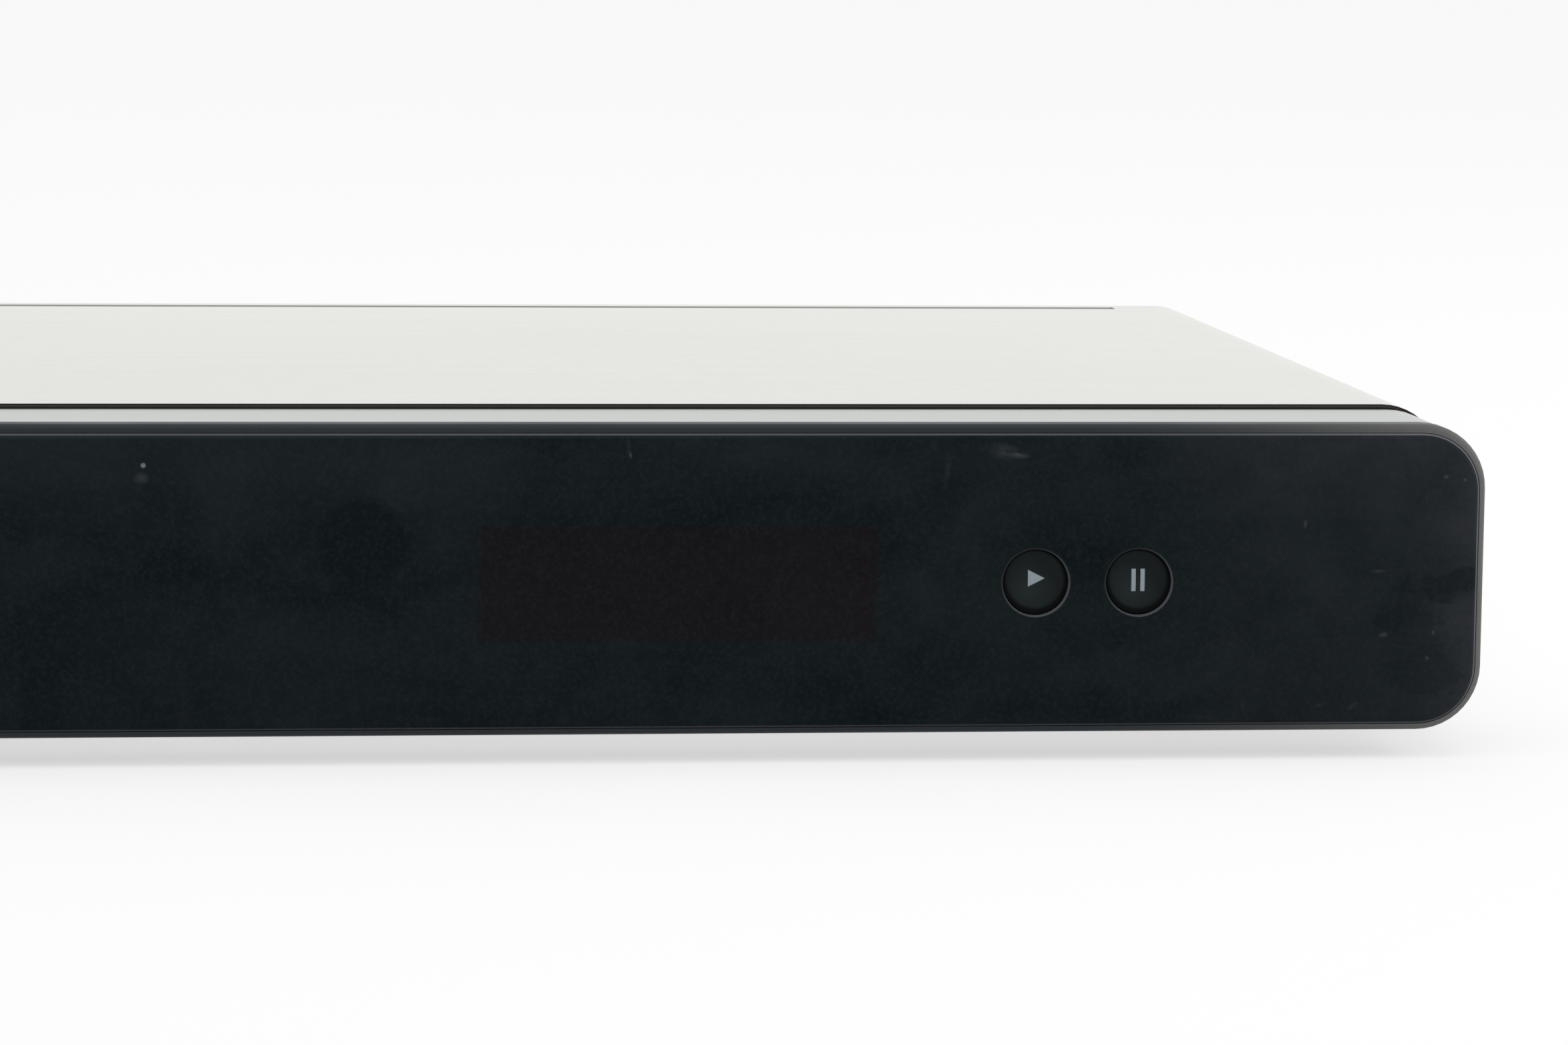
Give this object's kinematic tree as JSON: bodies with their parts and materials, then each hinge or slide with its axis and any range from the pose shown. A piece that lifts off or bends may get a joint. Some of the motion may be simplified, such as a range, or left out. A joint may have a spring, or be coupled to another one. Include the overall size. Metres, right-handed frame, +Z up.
{
  "type": "blu-ray player",
  "caption": "Full-width home disc player: silver cover over a dark rounded front panel with a gloss plate, display, round keys and a motor-driven loading tray.",
  "frame": {"origin": "on the surface the player stands on, under the middle of its outline", "axes": "+X to the right seen from the front, +Y to the back, +Z up; the front panel faces -Y"},
  "size_m": [0.435, 0.258, 0.0578],
  "materials": {
    "silver_paint": "satin silver paint on steel sheet",
    "silver_trim": "silver painted moulding",
    "dark_bezel": "fine-grained dark grey moulding",
    "gloss_black": "polished smoked acrylic",
    "key_black": "satin black key",
    "gasket": "matt foam",
    "steel": "zinc plated sheet",
    "screw": "black zinc",
    "rear_black": "matt black paint",
    "rubber": "matt",
    "black_plastic": "fine-grained moulding",
    "board_green": "solder mask",
    "board_tan": "phenolic board",
    "chip": "epoxy",
    "capacitor": "shrink sleeve",
    "aluminium": "extruded",
    "nickel": "nickel plate",
    "jack_colour": "coloured moulding",
    "tray_plastic": "fine-grained moulding",
    "gear_white": "acetal",
    "belt_rubber": "square belt",
    "display_glass": "display tube",
    "filter": "dark red film",
    "lens": "moulded lens",
    "winding": "taped winding",
    "ribbon": "flat cable"
  },
  "bodies": {
    "case": {"front_bezel": "dark_bezel", "front_plate": "gloss_black", "display_filter": "filter", "receiver_filter": "filter", "front_board": "board_green", "standby_board": "board_green", "tact_switches": "black_plastic", "display_module": "display_glass", "remote_receiver": "black_plastic", "standby_lamp": "lens", "light_pipe": "lens", "front_trim": "silver_trim", "cover_gasket": "gasket", "top_cover": "silver_paint", "bottom_chassis": "steel", "rear_panel": "rear_black", "feet": "black_plastic", "foot_pads": "rubber", "main_board": "board_green", "power_board": "board_tan", "jack_housings": "black_plastic", "jack_shells": "nickel", "jack_rings": "jack_colour", "hdmi_socket": "nickel", "lan_socket": "nickel", "mains_inlet": "black_plastic", "inlet_pins": "nickel", "board_chips": "chip", "decoder_heatsink": "aluminium", "capacitors": "capacitor", "power_transformer": "winding", "power_heatsink": "aluminium", "cable_sockets": "ribbon", "ribbon_cable": "ribbon", "loader_frame": "black_plastic", "clamp_bridge": "steel", "loading_motor": "steel", "drive_belt": "belt_rubber", "screws": "screw"},
    "tray": {"disc_tray": "tray_plastic", "tray_lid": "gloss_black"},
    "tray_gear": {"tray_gear": "gear_white"},
    "pulley_gear": {"pulley_gear": "gear_white"},
    "motor_pulley": {"motor_pulley": "gear_white"},
    "lift": {"lift_frame": "black_plastic", "dampers": "rubber", "traverse_plate": "steel", "guide_rails": "steel", "spindle_motor": "steel", "sled_motor": "steel"},
    "cam_slider": {"cam_slider": "gear_white"},
    "turntable": {"turntable": "black_plastic"},
    "sled": {"pickup_sled": "aluminium", "objective_lens": "lens"},
    "lead_screw": {"lead_screw": "steel"},
    "clamper": {"clamper": "gear_white"},
    "standby_button": {"standby_button": "key_black"},
    "open_close_button": {"open_close_button": "key_black"},
    "play_button": {"play_button": "key_black"},
    "pause_button": {"pause_button": "key_black"}
  },
  "joints": [
    {"name": "tray_slide", "type": "slide", "parent": "case", "child": "tray", "axis": [0, -1, 0], "range_m": [0, 0.135]},
    {"name": "tray_gear_spin", "type": "hinge", "parent": "case", "child": "tray_gear", "pos_m": [-0.067, -0.098, 0.027], "axis": [0, 0, 1], "continuous": true},
    {"name": "pulley_gear_spin", "type": "hinge", "parent": "case", "child": "pulley_gear", "pos_m": [-0.085, -0.098, 0.024], "axis": [0, 0, 1], "continuous": true},
    {"name": "motor_pulley_spin", "type": "hinge", "parent": "case", "child": "motor_pulley", "pos_m": [-0.117, -0.098, 0.02], "axis": [0, 0, 1], "continuous": true},
    {"name": "traverse_lift", "type": "hinge", "parent": "case", "child": "lift", "pos_m": [-0.103, 0.038, 0.016], "axis": [-1, 0, 0], "range_deg": [0, 2.8]},
    {"name": "cam_slide", "type": "slide", "parent": "case", "child": "cam_slider", "axis": [-1, 0, 0], "range_m": [0, 0.02]},
    {"name": "spindle_spin", "type": "hinge", "parent": "lift", "child": "turntable", "pos_m": [-0.103, -0.054, 0.028], "axis": [0, 0, 1], "continuous": true},
    {"name": "sled_slide", "type": "slide", "parent": "lift", "child": "sled", "axis": [0, 1, 0], "range_m": [0, 0.034]},
    {"name": "lead_screw_spin", "type": "hinge", "parent": "lift", "child": "lead_screw", "pos_m": [-0.08, -0.014, 0.0233], "axis": [0, 1, 0], "continuous": true},
    {"name": "clamper_spin", "type": "hinge", "parent": "case", "child": "clamper", "pos_m": [-0.103, -0.054, 0.042], "axis": [0, 0, 1], "continuous": true},
    {"name": "standby_press", "type": "slide", "parent": "case", "child": "standby_button", "axis": [0, 1, 0], "range_m": [0, 0.0008], "stiffness_N_per_m": 1500},
    {"name": "open_close_press", "type": "slide", "parent": "case", "child": "open_close_button", "axis": [0, 1, 0], "range_m": [0, 0.0008], "stiffness_N_per_m": 1500},
    {"name": "play_press", "type": "slide", "parent": "case", "child": "play_button", "axis": [0, 1, 0], "range_m": [0, 0.0008], "stiffness_N_per_m": 1500},
    {"name": "pause_press", "type": "slide", "parent": "case", "child": "pause_button", "axis": [0, 1, 0], "range_m": [0, 0.0008], "stiffness_N_per_m": 1500}
  ],
  "couplings": [
    {"joint": "tray_gear_spin", "follows": "tray_slide", "rad_per_m": -83.333},
    {"joint": "pulley_gear_spin", "follows": "tray_slide", "rad_per_m": 166.67},
    {"joint": "motor_pulley_spin", "follows": "tray_slide", "rad_per_m": 500},
    {"joint": "cam_slide", "follows": "traverse_lift", "m_per_rad": 0.40926},
    {"joint": "lead_screw_spin", "follows": "sled_slide", "rad_per_m": 2094.4}
  ]
}
